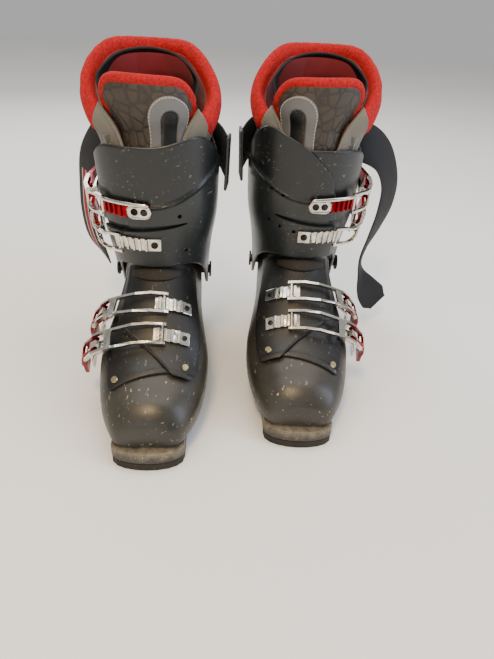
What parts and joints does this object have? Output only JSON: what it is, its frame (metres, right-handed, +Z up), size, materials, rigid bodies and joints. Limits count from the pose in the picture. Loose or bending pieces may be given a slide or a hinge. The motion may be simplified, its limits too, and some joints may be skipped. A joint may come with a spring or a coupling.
{
  "type": "pair of alpine ski boots",
  "caption": "Pair of hard-shell alpine ski boots with hinged cuffs, lever buckles with bails on toothed ladders, power straps, flat toe and heel lugs, and padded liners with fleece collars.",
  "frame": {"origin": "on the floor, under the middle of the box round the pair", "axes": "+Z up; the toes point towards -Y; the right boot is at -X and the left boot at +X"},
  "size_m": [0.3914, 0.3456, 0.3337],
  "materials": {
    "lower_shell": "satin grey polyurethane, scuffed at the toe",
    "cuff": "satin dark grey polyurethane",
    "flap": "soft black polyurethane, dull",
    "sole": "hard black sole plastic, worn and dusty",
    "board": "plain grey plastic",
    "liner": "beige-grey synthetic leather and textile",
    "tongue": "brown-grey textile with a small pattern",
    "webbing": "black woven webbing",
    "chrome": "polished cast metal",
    "lever": "red lacquered metal"
  },
  "bodies": {
    "right_lower": {"right_lower_shell": "lower_shell", "right_toe_sole": "sole", "right_heel_sole": "sole", "right_boot_board": "board", "right_throat_flap_outer_side": "flap", "right_throat_flap_inner_side": "flap", "right_cuff_pivot_outer": "chrome", "right_cuff_pivot_inner": "chrome", "right_liner_foot": "liner", "right_toe_ladder": "chrome", "right_toe_buckle_base": "chrome", "right_instep_ladder": "chrome", "right_instep_buckle_base": "chrome"},
    "right_toe_lever_body": {"right_toe_lever": "lever"},
    "right_toe_bail_body": {"right_toe_bail": "chrome"},
    "right_instep_lever_body": {"right_instep_lever": "lever"},
    "right_instep_bail_body": {"right_instep_bail": "chrome"},
    "right_cuff_group": {"right_cuff": "cuff", "right_liner_shaft": "liner", "right_liner_tongue": "tongue", "right_pull_loop": "webbing", "right_power_strap": "webbing", "right_ankle_ladder": "chrome", "right_ankle_buckle_base": "chrome", "right_shin_ladder": "chrome", "right_shin_buckle_base": "chrome"},
    "right_ankle_lever_body": {"right_ankle_lever": "lever"},
    "right_ankle_bail_body": {"right_ankle_bail": "chrome"},
    "right_shin_lever_body": {"right_shin_lever": "lever"},
    "right_shin_bail_body": {"right_shin_bail": "chrome"},
    "left_lower": {"left_lower_shell": "lower_shell", "left_toe_sole": "sole", "left_heel_sole": "sole", "left_boot_board": "board", "left_throat_flap_outer_side": "flap", "left_throat_flap_inner_side": "flap", "left_cuff_pivot_outer": "chrome", "left_cuff_pivot_inner": "chrome", "left_liner_foot": "liner", "left_toe_ladder": "chrome", "left_toe_buckle_base": "chrome", "left_instep_ladder": "chrome", "left_instep_buckle_base": "chrome"},
    "left_toe_lever_body": {"left_toe_lever": "lever"},
    "left_toe_bail_body": {"left_toe_bail": "chrome"},
    "left_instep_lever_body": {"left_instep_lever": "lever"},
    "left_instep_bail_body": {"left_instep_bail": "chrome"},
    "left_cuff_group": {"left_cuff": "cuff", "left_liner_shaft": "liner", "left_liner_tongue": "tongue", "left_pull_loop": "webbing", "left_power_strap": "webbing", "left_ankle_ladder": "chrome", "left_ankle_buckle_base": "chrome", "left_shin_ladder": "chrome", "left_shin_buckle_base": "chrome"},
    "left_ankle_lever_body": {"left_ankle_lever": "lever"},
    "left_ankle_bail_body": {"left_ankle_bail": "chrome"},
    "left_shin_lever_body": {"left_shin_lever": "lever"},
    "left_shin_bail_body": {"left_shin_bail": "chrome"}
  },
  "joints": [
    {"name": "left_boot_stand", "type": "slide", "parent": "right_lower", "child": "left_lower", "axis": [0, 0, 1], "range_m": [0, 0.3]},
    {"name": "right_cuff_flex", "type": "hinge", "parent": "right_lower", "child": "right_cuff_group", "pos_m": [-0.09114, 0.05167, 0.098], "axis": [0.9977, 0.068, 0], "range_deg": [0, 5], "stiffness_Nm_per_rad": 60},
    {"name": "right_toe_lever_open", "type": "hinge", "parent": "right_lower", "child": "right_toe_lever_body", "pos_m": [-0.13699, -0.09155, 0.08037], "axis": [-0.0852, 0.8669, 0.4911], "range_deg": [0, 130]},
    {"name": "right_toe_bail_swing", "type": "hinge", "parent": "right_toe_lever_body", "child": "right_toe_bail_body", "pos_m": [-0.14712, -0.08725, 0.07101], "axis": [-0.0852, 0.8669, 0.4911], "range_deg": [-137.5, 0]},
    {"name": "right_instep_lever_open", "type": "hinge", "parent": "right_lower", "child": "right_instep_lever_body", "pos_m": [-0.13577, -0.05965, 0.09815], "axis": [0.0617, 0.9009, 0.4297], "range_deg": [0, 130]},
    {"name": "right_instep_bail_swing", "type": "hinge", "parent": "right_instep_lever_body", "child": "right_instep_bail_body", "pos_m": [-0.14432, -0.05472, 0.08902], "axis": [0.0617, 0.9009, 0.4297], "range_deg": [-137.5, 0]},
    {"name": "right_ankle_lever_open", "type": "hinge", "parent": "right_cuff_group", "child": "right_ankle_lever_body", "pos_m": [-0.14913, -0.00321, 0.16634], "axis": [-0.1136, -0.3535, 0.9285], "range_deg": [0, 130]},
    {"name": "right_ankle_bail_swing", "type": "hinge", "parent": "right_ankle_lever_body", "child": "right_ankle_bail_body", "pos_m": [-0.15415, 0.00564, 0.16909], "axis": [-0.1136, -0.3535, 0.9285], "range_deg": [-137.5, 0]},
    {"name": "right_shin_lever_open", "type": "hinge", "parent": "right_cuff_group", "child": "right_shin_lever_body", "pos_m": [-0.15599, 0.00754, 0.20177], "axis": [-0.0173, -0.157, 0.9874], "range_deg": [0, 130]},
    {"name": "right_shin_bail_swing", "type": "hinge", "parent": "right_shin_lever_body", "child": "right_shin_bail_body", "pos_m": [-0.15891, 0.01767, 0.20333], "axis": [-0.0173, -0.157, 0.9874], "range_deg": [-137.5, 0]},
    {"name": "left_cuff_flex", "type": "hinge", "parent": "left_lower", "child": "left_cuff_group", "pos_m": [0.0604, 0.09282, 0.098], "axis": [0.9998, 0.0192, 0], "range_deg": [0, 5], "stiffness_Nm_per_rad": 60},
    {"name": "left_toe_lever_open", "type": "hinge", "parent": "left_lower", "child": "left_toe_lever_body", "pos_m": [0.11855, -0.04586, 0.08037], "axis": [-0.0093, -0.871, -0.4911], "range_deg": [0, 130]},
    {"name": "left_toe_bail_swing", "type": "hinge", "parent": "left_toe_lever_body", "child": "left_toe_bail_body", "pos_m": [0.12827, -0.04068, 0.07101], "axis": [-0.0093, -0.871, -0.4911], "range_deg": [-137.5, 0]},
    {"name": "left_instep_lever_open", "type": "hinge", "parent": "left_lower", "child": "left_instep_lever_body", "pos_m": [0.11455, -0.01419, 0.09815], "axis": [0.14, -0.8921, -0.4297], "range_deg": [0, 130]},
    {"name": "left_instep_bail_swing", "type": "hinge", "parent": "left_instep_lever_body", "child": "left_instep_bail_body", "pos_m": [0.12264, -0.00852, 0.08902], "axis": [0.14, -0.8921, -0.4297], "range_deg": [-137.5, 0]},
    {"name": "left_ankle_lever_open", "type": "hinge", "parent": "left_cuff_group", "child": "left_ankle_lever_body", "pos_m": [0.12294, 0.04321, 0.16634], "axis": [-0.144, 0.3422, -0.9285], "range_deg": [0, 130]},
    {"name": "left_ankle_bail_swing", "type": "hinge", "parent": "left_ankle_lever_body", "child": "left_ankle_bail_body", "pos_m": [0.12718, 0.05246, 0.16909], "axis": [-0.144, 0.3422, -0.9285], "range_deg": [-137.5, 0]},
    {"name": "left_shin_lever_open", "type": "hinge", "parent": "left_cuff_group", "child": "left_shin_lever_body", "pos_m": [0.12885, 0.05451, 0.20177], "axis": [-0.0309, 0.1549, -0.9874], "range_deg": [0, 130]},
    {"name": "left_shin_bail_swing", "type": "hinge", "parent": "left_shin_lever_body", "child": "left_shin_bail_body", "pos_m": [0.13087, 0.06486, 0.20333], "axis": [-0.0309, 0.1549, -0.9874], "range_deg": [-137.5, 0]}
  ],
  "couplings": [
    {"joint": "right_toe_bail_swing", "follows": "right_toe_lever_open", "ratio": -1.05},
    {"joint": "right_instep_bail_swing", "follows": "right_instep_lever_open", "ratio": -1.05},
    {"joint": "right_ankle_bail_swing", "follows": "right_ankle_lever_open", "ratio": -1.05},
    {"joint": "right_shin_bail_swing", "follows": "right_shin_lever_open", "ratio": -1.05},
    {"joint": "left_toe_bail_swing", "follows": "left_toe_lever_open", "ratio": -1.05},
    {"joint": "left_instep_bail_swing", "follows": "left_instep_lever_open", "ratio": -1.05},
    {"joint": "left_ankle_bail_swing", "follows": "left_ankle_lever_open", "ratio": -1.05},
    {"joint": "left_shin_bail_swing", "follows": "left_shin_lever_open", "ratio": -1.05}
  ]
}
